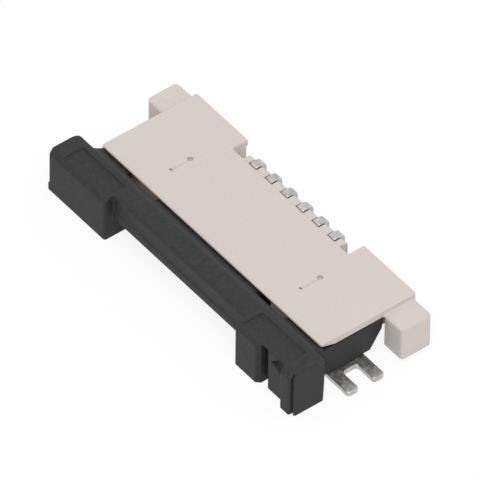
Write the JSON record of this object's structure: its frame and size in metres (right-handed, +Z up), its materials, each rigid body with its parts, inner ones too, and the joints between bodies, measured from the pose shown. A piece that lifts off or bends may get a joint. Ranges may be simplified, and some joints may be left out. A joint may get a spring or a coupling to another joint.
{
  "type": "fpc connector",
  "caption": "Right-angle surface-mount slide-lock connector for a flat flexible cable, with forked contacts and solder tabs.",
  "frame": {"origin": "bottom centre of the whole connector, on the board plane under its solder tails and tabs", "axes": "+X along the row of contacts, +Y away from the cable's mouth towards the solder tails, +Z up from the board"},
  "size_m": [0.0084, 0.0038, 0.0012],
  "materials": {
    "ivory_plastic": "matte moulded liquid crystal polymer",
    "black_plastic": "matte moulded, glass filled, fine grain",
    "tin_plate": "matte tin over stamped copper alloy"
  },
  "bodies": {
    "housing": {"housing": "ivory_plastic", "solder_tab_left": "tin_plate", "solder_tab_right": "tin_plate", "contact_1": "tin_plate", "contact_2": "tin_plate", "contact_3": "tin_plate", "contact_4": "tin_plate", "contact_5": "tin_plate", "contact_6": "tin_plate"},
    "slider": {"slider": "black_plastic"}
  },
  "joints": [
    {"name": "slider_slide", "type": "slide", "parent": "housing", "child": "slider", "axis": [0, -1, 0], "range_m": [0, 0.0005]}
  ]
}
